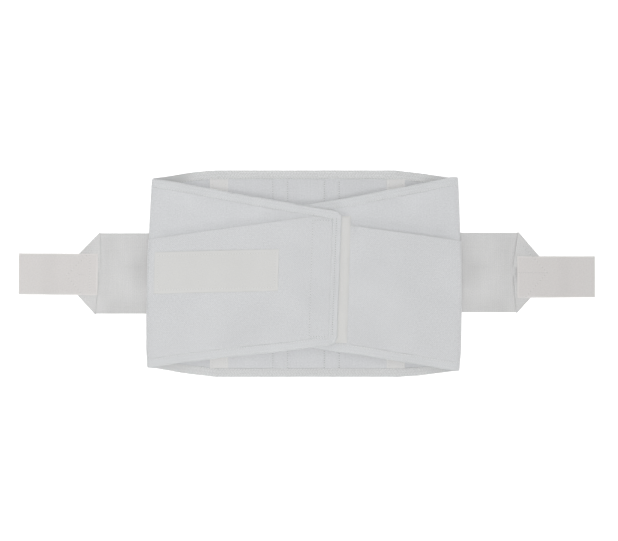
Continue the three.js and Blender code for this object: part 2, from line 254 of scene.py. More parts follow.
def clothMaterial(name, look):
    material, tree, shader = newMaterial(name)
    shader["Sheen Weight"].default_value = look["sheen"]
    shader["Sheen Roughness"].default_value = 0.6
    uv = tree.nodes.new("ShaderNodeUVMap")
    uv.uv_map = "pattern"
    kind, values = look["weave"]
    weave = placeGroup(tree, kind, uv.outputs[0], values)["Height"]
    fuzz = placeGroup(tree, "fuzz", uv.outputs[0], {"Size": look["speckle"]})
    relief = weightedSum(tree, (weave, look["showWeave"]), (fuzz["Speckle"], 1 - look["showWeave"]))
    cloudy = look.get("cloud", 0.15)
    tone = weightedSum(tree, (fuzz["Cloud"], cloudy), (relief, 1 - cloudy))
    colour = mixColour(tree, tone, look["dark"], look["light"])
    if "borderAndPaintedShade" in look:  # a tape's woven border; painted shade on an overlay's cut edge and on the bindings
        border = tree.nodes.new("ShaderNodeAttribute")
        border.attribute_name = "borderAndPaintedShade"
        borderAndShadeTone = [value * look["borderAndPaintedShade"] for value in look["light"]]
        colour = mixColour(tree, border.outputs["Fac"], colour, borderAndShadeTone)
    tree.links.new(colour, shader["Base Color"])
    valley, ridge = look["rough"]
    tree.links.new(mathNode(tree, "MULTIPLY_ADD", relief, ridge - valley, valley), shader["Roughness"])
    bump = tree.nodes.new("ShaderNodeBump")
    bump.inputs["Strength"].default_value = 0.6
    bump.inputs["Distance"].default_value = look["depth"] * mm
    tree.links.new(relief, bump.inputs["Height"])
    tree.links.new(bump.outputs[0], shader["Normal"])
    return material


def threadMaterial(name, light, dark, rough):
    material, tree, shader = newMaterial(name)
    where = tree.nodes.new("ShaderNodeTexCoord")
    fuzz = placeGroup(tree, "fuzz", where.outputs["Object"], {"Size": 0.0009})
    tree.links.new(mixColour(tree, fuzz["Speckle"], dark, light), shader["Base Color"])
    tree.links.new(mathNode(tree, "MULTIPLY_ADD", fuzz["Speckle"], 0.2, rough), shader["Roughness"])
    return material


cloth = {name: clothMaterial(name, look) for name, look in finishes.items()}
cloth["thread"] = threadMaterial("thread", (0.66, 0.665, 0.66), (0.56, 0.565, 0.56), 0.6)
# needle holes are dark discs: painted shade in the hole
cloth["needleHoleShade"] = threadMaterial("needleHoleShade", (0.24, 0.245, 0.25), (0.16, 0.165, 0.17), 0.8)
print("materials made:", len(cloth))


# The loop's layers, as distances from the middle of a panel's wall, outwards
layers = {
    "boundHalf": 0.45, "panelInner": -1.2, "panelOuter": 1.45, "bindingOuter": 1.45, "overlayThick": 1.4,
    "patchUnder": 2.98, "patchThick": 1.1, "closureMiddle": -2.45, "closureThick": 1.35,
}
floorClear = 0.03  # cloth on the floor stays this far above it
bend = {
    "seam": 107.55, "foldRadius": 7.7, "foldAbove": 8, "foldBelow": 2.4, "foldSqueeze": 0.3,
    "stepFrom": 120, "stepTo": 136, "stepRise": 3.6, "pinchFrom": 130, "pinchTo": 175, "pinchReach": 124,
    "cornerRadius": 7, "bindingReach": 1.0, "bindingDepth": 9.3, "rippleWithin": 50,
    "cell": 3, "endCell": 1.5, "endZone": 16, "foldCell": 1.8, "foldTurn": 0.2,  # spacing of the columns
}
# Edges are rows of (u, top, bottom), with u as the distance from the middle towards the side's own fold.
# foldShade is the painted shade on the binding inside the fold, at the top and at the bottom.
leftSide = {
    "name": "left", "side": -1, "foldReach": 192.1, "pinchHeight": -60, "pinchTop": 6.6, "pinchBottom": 0,
    "backEdges": [(107.4, 125, -125.3), (118, 124.6, -124.2), (151.5, 120.8, -119.7), (181.8, 116.3, -114.3)],
    "frontEdges": [
        (-38.2, 74.7, -84.4), (22, 84.5, -92.5), (86.6, 96, -99.2), (115, 101.9, -102.9),
        (157, 109.3, -107.7), (181.8, 112.7, -111.9),
    ],
    "frontRise": (110, 40, 4.2), "endLean": 6, "overlayTop": (42.1, 0.1374, 191),
    # edgeShade: painted shade along the overlay's free top edge
    "edgeLift": 1.8, "liftWidth": 12, "edgeShade": 0.5, "foldShade": (1.0, 0.35),
    "heldTo": -80,  # past the end, so nothing holds this overlay down
    "lapTo": 22,  # from here to its end the top edge lies over the other front
}
rightSide = {
    "name": "right", "side": 1, "foldReach": 185.7, "pinchHeight": -20, "pinchTop": 3.9, "pinchBottom": 2.0,
    "backEdges": [(107.4, 125, -125.3), (135.6, 121.4, -123.2), (175.8, 116, -118.1)],
    "frontEdges": [
        (-67.5, 70.8, -78.4), (46, 90.7, -94.9), (70, 94.9, -98.5), (93.4, 99.9, -102.3),
        (130, 106.7, -108.4), (175.8, 115.6, -115.8),
    ],
    "frontRise": (150, 60, -2.45), "endLean": 0, "overlayTop": (40.2, 0.138, 185),
    # edgeShade: painted shade along the overlay's free top edge
    "edgeLift": 4.0, "liftWidth": 28, "edgeShade": 1.0, "foldShade": (0.45, 0.35),
    "heldTo": 52.5,  # the closure tape holds the overlay down as far as this
    "lapTo": None,
}
# Slow waves that all layers of the two fronts share: height, length, slant and start of each
frontWaves = [(0.34, 92, 0.3, 0.4), (0.24, 61, -0.8, 2.1), (0.14, 37, 1.3, 4.0)]


def ripple(x, y):
    total = 0
    for height, length, slant, start in frontWaves:
        total += height * math.sin((x + slant * y) * 2 * math.pi / length + start)
    return total


# A fold in section, from the back round to the front: rounded below, with a tight corner above
def foldSection():
    angles = np.linspace(-math.pi / 2, math.pi / 2, 1441)
    power = np.where(angles > 0, bend["foldAbove"], bend["foldBelow"])
    turned = np.array([np.cos(angles), np.sin(angles)])
    at = np.sign(turned) * np.abs(turned) ** (2 / power)
    out = np.sign(at) * np.abs(at) ** (power - 1)
    out /= np.linalg.norm(out, axis=0)
    at *= bend["foldRadius"]
    steps = np.linalg.norm(np.diff(at, axis=1), axis=0)
    turns = np.arccos(np.clip((out[:, 1:] * out[:, :-1]).sum(axis=0), -1, 1))
    along = np.concatenate([[0], np.cumsum(steps)])
    # Columns stand closer on the corner
    effort = np.concatenate([[0], np.cumsum(steps / bend["foldCell"] + turns / bend["foldTurn"])])
    columns = np.interp(np.linspace(0, effort[-1], round(effort[-1]) + 1), effort, along)
    return SimpleNamespace(along=along, at=at, out=out, columns=columns.tolist())


fold = foldSection()


# One side's way round: s runs from the seam over the back, round the fold and along the front
def sideRun(cut):
    radius = bend["foldRadius"]
    foldCentre = cut["foldReach"] - radius - layers["bindingOuter"]
    backLength = foldCentre - bend["seam"]
    frontStart = backLength + fold.columns[-1]
    endAt = frontStart + foldCentre - cut["frontEdges"][0][0]
    foldHeight = layers["panelOuter"] + bend["stepRise"] + radius
    backEdges = np.array(cut["backEdges"], float).T
    frontEdges = np.array(cut["frontEdges"], float).T

    def backHeight(u):
        return layers["panelOuter"] + bend["stepRise"] * easeStep(u, bend["stepFrom"], bend["stepTo"])

    def frontHeight(u):
        start, end, rise = cut["frontRise"]
        return foldHeight + radius + rise * easeStep(-u, -start, -end)

    def section(s):  # middle of the wall as (u, z) and the way out there
        if s <= backLength:
            u = bend["seam"] + s
            out = Vector((backHeight(u + 0.5) - backHeight(u - 0.5), -1)).normalized()
            return Vector((u, backHeight(u))), out
        if s < frontStart:
            at, out = (Vector([np.interp(s - backLength, fold.along, row) for row in rows])
                       for rows in (fold.at, fold.out))
            return Vector((foldCentre, foldHeight)) + at, out.normalized()
        u = foldCentre - (s - frontStart)
        out = Vector((frontHeight(u - 0.5) - frontHeight(u + 0.5), 1)).normalized()
        return Vector((u, frontHeight(u))), out

    def edge(s, row):  # row 1 is the top edge, row 2 the bottom edge
        trim = bend["bindingReach"] * (-1 if row == 1 else 1)
        if s <= backLength:
            return float(np.interp(bend["seam"] + s, backEdges[0], backEdges[row])) + trim
        if s >= frontStart:
            return float(np.interp(foldCentre - (s - frontStart), frontEdges[0], frontEdges[row])) + trim
        share = (s - backLength) / (frontStart - backLength)
        return float(mix(backEdges[row][-1], frontEdges[row][-1], share)) + trim

    def pinch(y):  # how far the fold line is drawn in at height y
        up = y - cut["pinchHeight"]
        if up > 0:
            return cut["pinchTop"] * (up / (bend["pinchReach"] - cut["pinchHeight"])) ** 2
        return cut["pinchBottom"] * (up / (bend["pinchReach"] + cut["pinchHeight"])) ** 2

    def squeeze(s):  # the layers are pressed thinner where they turn
        share = (s - backLength) / (frontStart - backLength)
        return 1 - bend["foldSqueeze"] * easeStep(min(share, 1 - share), 0, 0.3)

    endTop, endBottom = edge(endAt, 1), edge(endAt, 2)

    def point(s, y, n):
        along = max(0.0, (s - frontStart) / (endAt - frontStart))
        lean = along * cut["endLean"] * (y - (endTop + endBottom) / 2) / (endTop - endBottom)
        at, out = section(s + lean)
        n *= squeeze(s)
        drawn = pinch(y) * easeStep(at.x, bend["pinchFrom"], bend["pinchTo"])
        x = cut["side"] * (at.x + out.x * n - drawn)
        z = at.y + out.y * n + ripple(x, y) * easeStep(s - frontStart, 0, bend["rippleWithin"])
        return Vector((x, y, z))

    def bound(s, y):  # distance in from the bound edges
        return min(edge(s, 1) - y, y - edge(s, 2), endAt - s)

    fineFrom = endAt - bend["endZone"]
    columns = evenSteps(0, backLength, bend["cell"]) + [backLength + along for along in fold.columns[1:]]
    columns += evenSteps(frontStart, fineFrom, bend["cell"])[1:]
    columns += evenSteps(fineFrom, endAt - bend["cornerRadius"], bend["endCell"])[1:]
    return SimpleNamespace(
        cut=cut, side=cut["side"], name=cut["name"], point=point, edge=edge, bound=bound, squeeze=squeeze,
        columns=columns, frontStart=frontStart, endAt=endAt, sOfBack=lambda u: u - bend["seam"],
        sOfFront=lambda u: frontStart + foldCentre - u, uOfFront=lambda s: foldCentre - (s - frontStart),
    )


def cornerInset(fromEnd):
    radius = bend["cornerRadius"]
    if fromEnd >= radius:
        return 0.0
    return radius - math.sqrt(max(0.0, radius ** 2 - (radius - fromEnd) ** 2))


def cornerColumns(run, steps=8):
    radius = bend["cornerRadius"]
    turns = [math.pi / 2 * i / steps for i in range(steps + 1)]
    return [run.endAt - radius * (1 - math.sin(turn)) for turn in turns]


# Cloth pieces start as a flat grid, whose points are then laid where the cut pattern puts them. lay()
# gives a point's place, its place on the pattern, its thickness and its share of the border tone and painted
# shade.
def clothGrid(columns, rows):
    bm = bmesh.new()
    bmesh.ops.create_grid(bm, x_segments=columns, y_segments=rows, size=1)
    bm.loops.layers.uv.new("pattern")
    bm.verts.layers.deform.new()
    # share of a tape's woven border tone, and of painted shade on overlay edges and bindings
    bm.verts.layers.float.new("borderAndPaintedShade")
    return bm


def layCloth(across, up, lay, thickest):
    bm = clothGrid(len(across) - 1, len(up) - 1)
    places = {}
    for vert in bm.verts:
        column = round((vert.co.x + 1) / 2 * (len(across) - 1))
        row = round((vert.co.y + 1) / 2 * (len(up) - 1))
        places[vert] = lay(across[column], up[row])
    return settle(bm, places, thickest)


def settle(bm, places, thickest):
    uv = bm.loops.layers.uv["pattern"]
    weights = bm.verts.layers.deform.active
    borderAndPaintedShade = bm.verts.layers.float["borderAndPaintedShade"]
    for vert, (at, _, thick, border) in places.items():
        vert.co = at * mm
        vert[weights][0] = thick / thickest
        vert[borderAndPaintedShade] = border
    for face in bm.faces:
        for loop in face.loops:
            loop[uv].uv = Vector(places[loop.vert][1]) * mm
    return bm


def faceOutward(bm, out):
    bm.faces.ensure_lookup_table()
    bm.normal_update()
    if bm.faces[0].normal.dot(out) < 0:
        bmesh.ops.reverse_faces(bm, faces=bm.faces[:])


def toMesh(bm, name):
    mesh = bpy.data.meshes.new(name)
    bm.to_mesh(mesh)
    bm.free()
    return mesh


def newObject(name, data):
    made = bpy.data.objects.new(name, data)
    bpy.context.scene.collection.objects.link(made)
    return made


def addPiece(bm, name, finishNames, stands=None):
    for face in bm.faces:
        face.smooth = True
    mesh = toMesh(bm, name)
    for finish in finishNames:
        mesh.materials.append(cloth[finish])
    piece = newObject(name, mesh)
    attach(piece, "root")
    if stands:
        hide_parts(stands)
    return piece


def thicken(piece, thick, offset=0.0, rounding=0.0):
    piece.vertex_groups.new(name="wall")
    wall = piece.modifiers.new("wall", "SOLIDIFY")
    wall.thickness = thick * mm
    wall.offset = offset
    wall.vertex_group = "wall"
    if rounding:
        soft = piece.modifiers.new("soft edge", "BEVEL")
        soft.width = rounding * mm
        soft.segments = 2
        soft.limit_method = "ANGLE"
        soft.angle_limit = math.radians(55)
    even = piece.modifiers.new("even shading", "WEIGHTED_NORMAL")
    even.mode = "FACE_AREA_WITH_ANGLE"
    even.weight = 80
    return piece


# Rows across a bound piece: close together near its edges, even in the middle
def edgeRows(fromBottom, fromTop, middle):
    rows = [("bottom", value) for value in fromBottom]
    rows += [("middle", (i + 1) / middle) for i in range(middle - 1)]
    return rows + [("top", value) for value in reversed(fromTop)]


def rowHeight(row, low, high, fromBottom, fromTop):
    kind, value = row
    if kind == "bottom":
        return low + value
    if kind == "top":
        return high - value
    return mix(low + fromBottom[-1], high - fromTop[-1], value)


leftRun = sideRun(leftSide)
rightRun = sideRun(rightSide)
runs = (leftRun, rightRun)

# Side and front panels, thinned where their binding goes over them
panelShape = {
    "edges": [0, 3, 6, 8.4, 9.2, 9.6, 10, 10.5, 11.5, 13, 15, 18], "middle": 42,
    "thinTo": 8.2, "fullFrom": 10.2, "clear": 0.04,  # kept this far under the overlay
}


def panelFullness(inFromEdge):
    return easeStep(inFromEdge, panelShape["thinTo"], panelShape["fullFrom"])


def panelOuterAt(inFromEdge):
    return mix(layers["boundHalf"], layers["panelOuter"], panelFullness(inFromEdge))


def sidePanel(run):
    edges = panelShape["edges"]

    def lay(s, row):
        inset = cornerInset(run.endAt - s)
        y = rowHeight(row, run.edge(s, 2) + inset, run.edge(s, 1) - inset, edges, edges)
        full = panelFullness(run.bound(s, y))
        outer = mix(layers["boundHalf"], layers["panelOuter"] - panelShape["clear"], full)
        inner = mix(-layers["boundHalf"], layers["panelInner"], full)
        return run.point(s, y, (outer + inner) / 2), (s, y), (outer - inner) * run.squeeze(s), 0.0

    thick = layers["panelOuter"] - layers["panelInner"]
    columns = run.columns + cornerColumns(run)[1:]
    bm = layCloth(columns, edgeRows(edges, edges, panelShape["middle"]), lay, thick)
    faceOutward(bm, run.point(0, 0, 1) - run.point(0, 0, 0))
    name = run.name + "_panel"
    # the inner face takes the darker copy of the knit, as painted shade
    piece = addPiece(bm, name + "_cloth", ["panelCloth", "shadedInsideCloth"], name)
    thicken(piece, thick).modifiers["wall"].material_offset = 1
    return piece


sidePanels = {run.name: sidePanel(run) for run in runs}
print("side panels laid")

# Outer bands of loop cloth
overlayShape = {
    "bottom": [0, 0.6, 0.9, 1.3, 1.9, 3, 4.4, 6, 9, 12, 15], "top": [0, 0.7, 1.6, 3.5, 6, 10, 15],
    "end": [5, 3.4, 2.2, 1.3, 0.9, 0.6, 0], "middle": 28, "backEnd": 150, "inset": 8.7, "sit": 0.05,
    # the top edge comes free over these lengths: past the fold, below the binding, past the closure tape
    "freePastFold": (-4, 22), "freeBelowEdge": (11, 20), "freePastTape": 8, "shadeWidth": (0.4, 1.4),
    # distance in from the bound edge, thickness there
    "thickness": [(8.7, 0.12), (9.3, 0.15), (10, 0.3), (12, 0.6), (15, 0.95), (19, 1.25), (23, 1.4)],
}


def overlayLift(run, s, high, y):  # the free top edge stands off the panel a little
    freed = easeStep(s - run.frontStart, *overlayShape["freePastFold"])
    freed *= easeStep(run.edge(s, 1) - high, *overlayShape["freeBelowEdge"])
    heldTo = run.cut["heldTo"]
    freed *= easeStep(run.uOfFront(s), heldTo, heldTo + overlayShape["freePastTape"])
    return run.cut["edgeLift"] * freed * (1 - easeStep(high - y, 0, run.cut["liftWidth"]))


def overlayOuterAt(run, s, y):
    return panelOuterAt(run.bound(s, y)) + overlayShape["sit"] + overlayThickAt(run, s, y)


def overlayThickAt(run, s, y):
    inFromEdge, thick = zip(*overlayShape["thickness"])
    return float(np.interp(run.bound(s, y), inFromEdge, thick))


def overlayTopAt(run, s):
    atFold, slope, foldU = run.cut["overlayTop"]
    return min(atFold + slope * max(0, foldU - run.uOfFront(s)), run.edge(s, 1) - overlayShape["inset"])


def overlayBand(run):
    start = run.sOfBack(overlayShape["backEnd"])
    end = run.endAt - overlayShape["inset"]
    columns = [start] + [s for s in run.columns if start + 1 < s < end - 6]
    columns += [end - x for x in overlayShape["end"]]
    fromBottom, fromTop = overlayShape["bottom"], overlayShape["top"]

    def lay(s, row):
        high = overlayTopAt(run, s)
        y = rowHeight(row, run.edge(s, 2) + overlayShape["inset"], high, fromBottom, fromTop)
        thick = overlayThickAt(run, s, y)
        n = overlayOuterAt(run, s, y) - thick / 2 + overlayLift(run, s, high, y)
        # painted shade: a dark band along the free top edge, standing in for the shadow of the raised edge
        shade = run.cut["edgeShade"] * (1 - easeStep(high - y, *overlayShape["shadeWidth"]))
        return run.point(s, y, n), (s, y), thick * run.squeeze(s), shade

    rows = edgeRows(fromBottom, fromTop, overlayShape["middle"])
    bm = layCloth(columns, rows, lay, layers["overlayThick"])
    name = run.name + "_overlay"
    piece = addPiece(bm, name + "_cloth", ["loopCloth"], name)
    return thicken(piece, layers["overlayThick"], rounding=0.2)


overlays = {run.name: overlayBand(run) for run in runs}
print("overlays laid")

# Back panel, with two stay channels that stand up between their rows of stitches
backShape = {
    "halfWidth": 107.5, "halfHeight": 124, "channels": [-32, 30.2], "channelHalf": 9, "rise": 0.6,
    "middle": 1.45, "wall": 2.65, "under": 0.02, "groove": 0.1, "grooveWidth": 0.9, "puff": 0.12,
    "puffSize": 28, "holes": [0.42, 0.54], "rows": 40,
    "bays": [(-44, 3), (-20, 0.8), (18, 2.5), (42, 0.8), (107.5, 3)],  # where each bay ends and its cell
}


def sewnGroove(away, depth, width=0.7):  # a row of stitches draws the cloth in
    return depth * math.exp(-(away / width) ** 2)


def backTop(x, y):
    rise = 0
    for centre in backShape["channels"]:
        inside = 1 - abs(x - centre) / backShape["channelHalf"]
        if inside > 0:
            rise += backShape["rise"] * easeStep(inside, 0, 0.4)
        fromRow = abs(x - centre) - backShape["channelHalf"]
        rise -= sewnGroove(fromRow, backShape["groove"], backShape["grooveWidth"])
    puff = backShape["puff"] * wobble(x, y, backShape["puffSize"], 3.1)
    return backShape["wall"] + rise + puff


def backPanel():
    edges = panelShape["edges"]

    def lay(x, row):
        y = rowHeight(row, -backShape["halfHeight"], backShape["halfHeight"], edges, edges)
        full = panelFullness(backShape["halfHeight"] - abs(y))
        low = mix(backShape["middle"] - layers["boundHalf"], backShape["under"], full)
        high = mix(backShape["middle"] + layers["boundHalf"], backTop(x, y), full)
        return Vector((x, y, (low + high) / 2)), (x, y), high - low, 0.0

    columns = [-backShape["halfWidth"]]
    for end, cell in backShape["bays"]:
        columns += evenSteps(columns[-1], end, cell)[1:]
    thick = backShape["wall"] + backShape["rise"]
    bm = layCloth(columns, edgeRows(edges, edges, backShape["rows"]), lay, thick)
    # the back panel takes the paler copy of the knit, as painted light
    piece = addPiece(bm, "back_panel_cloth", ["litLiningCloth"], "back_panel")
    return thicken(piece, thick)


back = backPanel()
print("back panel laid")

# Bindings: a folded tape, from its sewn edge on one face round the panel's edge to the other face.
# Each row of the profile is the distance in from the panel's edge and the height over its middle.
bindingShape = {
    "profile": [
        (9.3, 1.42), (9.0, 1.44), (8.6, 1.38), (8.1, 1.42), (7.0, 1.45), (5.0, 1.47), (2.6, 1.45),
        (1.0, 1.38), (0.1, 1.22), (-0.5, 0.92), (-0.88, 0.5), (-1.0, 0.0),
    ],
    "tape": 0.4, "step": 3, "waver": 0.03, "waverSize": 17, "braidTo": 176,
    "sewnAt": 8.55, "endSewnAt": 5.2, "stitchHeight": 1.32,
    # painted shade inside the folds, along the bottom, and on the edge that lies over the other front
    "shadeFrom": 128, "shadeTo": 160, "shadeFade": 20, "lowShade": 0.13, "lapFade": 6, "lapStop": (10, 4),
}
halfProfile = bindingShape["profile"]
wholeProfile = halfProfile + [(d, -n) for d, n in reversed(halfProfile[:-1])]


def bindingWay(run):  # stations along the edge, each with the place that the binding reaches in to
    depth = bend["bindingDepth"]
    mitre = run.endAt - depth
    straight = [s for s in run.columns if s < mitre - 0.5] + [mitre]

    def inFrom(s, row, inset):
        return Vector((s, run.edge(s, row) - (inset if row == 1 else -inset)))

    sides, corners = {}, {}
    for row in (1, 2):
        reach = inFrom(mitre, row, depth)
        sides[row] = [(inFrom(s, row, 0), inFrom(s, row, depth)) for s in straight]
        corners[row] = [(inFrom(s, row, cornerInset(run.endAt - s)), reach) for s in cornerColumns(run)]
    (fromEdge, fromReach), (toEdge, toReach) = corners[1][-1], corners[2][-1]
    count = round((fromEdge - toEdge).length / bindingShape["step"])
    end = [(fromEdge.lerp(toEdge, i / count), fromReach.lerp(toReach, i / count)) for i in range(1, count)]
    return sides[1] + corners[1] + end + corners[2][::-1] + sides[2][::-1]


def onBinding(way, i, d):  # a place on the pattern, d in from the edge at station i
    edge, reach = way[i]
    if d > 0:
        return edge.lerp(reach, d / bend["bindingDepth"])
    ahead = (way[min(i + 1, len(way) - 1)][0] - way[max(i - 1, 0)][0]).normalized()
    return edge + Vector((ahead.y, -ahead.x)) * d


def alongWay(points):
    total, along = 0.0, [0.0]
    for a, b in zip(points, points[1:]):
        total += (b - a).length
        along.append(total)
    return along


# Painted shade on a binding: darker inside the fold and along the bottom, and a dark line on the top edge
# where it lies over the other front, standing in for the shadows there
def bindingShade(run, s, y, n):
    topShade, bottomShade = run.cut["foldShade"]
    inFold = easeStep(s, run.sOfBack(bindingShape["shadeFrom"]), run.sOfBack(bindingShape["shadeTo"]))
    shade = topShade * inFold if y > 0 else bindingShape["lowShade"] + bottomShade * inFold
    fading = 1 - easeStep(s, run.frontStart, run.frontStart + bindingShape["shadeFade"])
    shade *= fading * easeStep(-n, -0.6, 0.6)  # only on the inner face
    lapTo, fade = run.cut["lapTo"], bindingShape["lapFade"]
    if lapTo and y > 0:
        stopFrom, stopTo = bindingShape["lapStop"]
        lapped = easeStep(s, run.sOfFront(lapTo + fade), run.sOfFront(lapTo - fade))
        lapped *= 1 - easeStep(s, run.endAt - stopFrom, run.endAt - stopTo)
        shade = max(shade, lapped * easeStep(-n, -1.34, -1.0))
    return shade


acrossTape = alongWay([Vector(place) for place in wholeProfile])


def waveringDepth(d, along, seed):  # the tape's sewn edge isn't quite straight
    return d * (1 + bindingShape["waver"] * wobble(along, d, bindingShape["waverSize"], seed))


def sideBinding(run):
    way = bindingWay(run)
    along = alongWay([(edge + reach) / 2 for edge, reach in way])

    def lay(i, j):
        d, n = wholeProfile[j]
        at = onBinding(way, i, waveringDepth(d, along[i], 5.0))
        place = run.point(at.x, at.y, n)
        place.z = max(place.z, floorClear)
        return place, (along[i], acrossTape[j]), bindingShape["tape"], bindingShade(run, at.x, at.y, n)

    bm = layCloth(range(len(way)), range(len(wholeProfile)), lay, bindingShape["tape"])
    start = way[0][1]
    faceOutward(bm, run.point(start.x, start.y, 1) - run.point(start.x, start.y, 0))
    uv = bm.loops.layers.uv["pattern"]
    braided = run.sOfBack(bindingShape["braidTo"])
    for face in bm.faces:
        if braided < face.loops[0][uv].uv.x / mm < along[-1] - braided:
            face.material_index = 1
    name = run.name + "_binding"
    piece = addPiece(bm, name + "_tape", ["bindingCloth", "frontBinding"], name)
    return thicken(piece, bindingShape["tape"], offset=-1)


def backBinding(name, turn):
    # painted shade along the bottom binding
    shade = bindingShape["lowShade"] if turn < 0 else 0.0

    def lay(x, j):
        d, n = wholeProfile[j]
        y = turn * (backShape["halfHeight"] - waveringDepth(d, x, 7.0 + turn))
        at = Vector((x, y, max(backShape["middle"] + n, floorClear)))
        return at, (x, acrossTape[j]), bindingShape["tape"], shade

    columns = evenSteps(-bend["seam"], bend["seam"], bend["cell"])
    bm = layCloth(columns, range(len(wholeProfile)), lay, bindingShape["tape"])
    faceOutward(bm, Vector((0, 0, 1)))
    piece = addPiece(bm, name + "_tape", ["bindingCloth"], name)
    return thicken(piece, bindingShape["tape"], offset=-1)


bindings = {run.name: sideBinding(run) for run in runs}
bindings["top"] = backBinding("back_binding_top", 1)
bindings["bottom"] = backBinding("back_binding_bottom", -1)
print("bindings folded over the edges")


# Tapes: a flat woven border round a thicker middle
tapeEdge = [0, 0.7, 1.5, 2.4, 3.2, 3.8, 4.4, 5.0, 5.8, 7]  # close steps in from a tape's edge


def tapeSteps(start, end, cell=2.5):
    inside = evenSteps(start + tapeEdge[-1], end - tapeEdge[-1], cell)[1:-1]
    return [start + x for x in tapeEdge] + inside + [end - x for x in reversed(tapeEdge)]


def tapeBorder(inFromEdge, width):
    return 1 - easeStep(inFromEdge, width - 0.7, width + 0.7)


patch = {
    "fromU": 183.4, "toU": 33.9, "centreY": 2.7, "width": 50, "slope": 0.024, "border": 3.0,
    "sewnAt": 4.4, "groove": 0.06, "sunk": 0.07,
}
patchStart, patchEnd = leftRun.sOfFront(patch["fromU"]), leftRun.sOfFront(patch["toU"])


def patchPlace(s, across, n):
    y = patch["centreY"] + patch["slope"] * (s - (patchStart + patchEnd) / 2) + across
    return leftRun.point(s, y, n)


def frontPatch():
    half = patch["width"] / 2

    def lay(s, across):
        inside = min(half - abs(across), s - patchStart, patchEnd - s)
        border = tapeBorder(inside, patch["border"])
        thick = layers["patchThick"] * (1 - 0.12 * border - 0.3 * (1 - easeStep(inside, 0, 1.2)))
        thick -= sewnGroove(inside - patch["sewnAt"], patch["groove"])
        return patchPlace(s, across, layers["patchUnder"] + thick / 2), (s, across), thick, border

    bm = layCloth(tapeSteps(patchStart, patchEnd), tapeSteps(-half, half), lay, layers["patchThick"])
    piece = addPiece(bm, "front_patch_tape", ["creamTape"], "front_patch")
    return thicken(piece, layers["patchThick"], rounding=0.3)


# The closure tape slants a little and bulges where it comes out from under the left front
closure = {
    "fromU": -1.5, "toU": -51.5, "centreY": -7, "width": 152, "border": 4.2,
    "droop": 0.45, "bulge": 0.7, "slant": 0.0095,
}


def closureStrip():
    start, end = leftRun.sOfFront(closure["fromU"]), leftRun.sOfFront(closure["toU"])
    half = closure["width"] / 2
    under = layers["closureMiddle"] - layers["closureThick"] / 2
    shown = end - leftRun.endAt - bend["bindingReach"]

    def lay(s, across):
        inside = min(half - abs(across), s - start, end - s)
        border = tapeBorder(end - s, closure["border"])
        thick = layers["closureThick"] * mix(0.75, 1, easeStep(end - s, 3, 12))
        thick *= mix(0.35, 1, easeStep(inside, 0, 3.5))
        lift = closure["bulge"] * math.sin(math.pi * min(1, max(0, (end - s) / shown))) - closure["droop"]
        lift *= 1 - easeStep(end - s, 1, shown + 2)
        y = closure["centreY"] + across
        shift = closure["slant"] * (across + half)
        return leftRun.point(s - shift, y, under + lift + thick / 2), (s, y), thick, border

    bm = layCloth(tapeSteps(start, end), tapeSteps(-half, half), lay, layers["closureThick"])
    piece = addPiece(bm, "closure_tape_strip", ["creamTape"], "closure_tape")
    return thicken(piece, layers["closureThick"], rounding=0.3)


seamTape = {
    "width": 22, "length": 228.6, "under": 2.95, "thick": 0.9, "thin": 0.85, "border": 2.0, "sewnAt": 2.6,
    "groove": 0.12, "inset": 0.15, "wander": 0.35, "shift": {"left": 1.2, "right": 0.2},
}


def seamMiddle(run):
    return run.side * (bend["seam"] - seamTape["inset"]) + seamTape["shift"][run.name]


def seamWander(run, y):
    return seamTape["wander"] * wobble(y, run.side, 30, 9.0)


def seamStrip(run):
    half, reach = seamTape["width"] / 2, seamTape["length"] / 2
    middle = seamMiddle(run)

    def lay(x, y):
        side = half - abs(x)
        border = tapeBorder(side, seamTape["border"])
        thick = seamTape["thick"] * mix(seamTape["thin"], 1, border)
        thick -= sewnGroove(side - seamTape["sewnAt"], seamTape["groove"])
        at = Vector((middle + x + seamWander(run, y), y, seamTape["under"] + thick / 2))
        return at, (x, y), thick, border

    bm = layCloth(tapeSteps(-half, half, 1.5), evenSteps(-reach, reach, 4), lay, seamTape["thick"])
    piece = addPiece(bm, run.name + "_seam_strip", ["seamCloth"], run.name + "_seam_tape")
    return thicken(piece, seamTape["thick"], rounding=0.25)


patchPiece = frontPatch()
closurePiece = closureStrip()
seamStrips = {run.name: seamStrip(run) for run in runs}
print("tapes laid")

# Elastic straps: the two corners of the end are folded in over the band, and the tab is sewn on them
straps = [
    {
        "name": "left", "side": -1, "top": 48.9, "bottom": -48.5, "foldTop": 249.4, "foldBottom": 255,
        "loose": 0, "point": (298.2, -1), "tab": {"from": 252.6, "to": 348.8, "centreY": -0.6, "turn": 0.4},
    },
    {
        "name": "right", "side": 1, "top": 49.6, "bottom": -46.7, "foldTop": 255, "foldBottom": 253.2,
        "loose": 0.6, "point": (297, 1.1), "tab": {"from": 254.4, "to": 349, "centreY": -4, "turn": 0.2},
    },
]
strapShape = {
    "root": 138, "thick": 1.3, "middle": 0.7, "foldRadius": 0.72, "foldWidth": 0.7, "cell": 3,
    "looseWithin": 14, "wave": 0.12, "waveSize": 35, "foldedTop": 2.9,
}
tabShape = {
    "width": 50, "thick": 1.1, "over": 3.05, "dropFrom": 2, "dropLength": 24, "border": 1.5,
    "wave": 0.25, "waveSize": 26,
}


def foldLines(strap):  # where each corner turns over, with the way that it came from
    point = Vector(strap["point"])
    lines = []
    for start in (Vector((strap["foldTop"], strap["top"])), Vector((strap["foldBottom"], strap["bottom"]))):
        way = (point - start).normalized()
        out = Vector((-way.y, way.x))
        if out.y * start.y < 0:
            out = -out
        lines.append((start, out))
    return lines


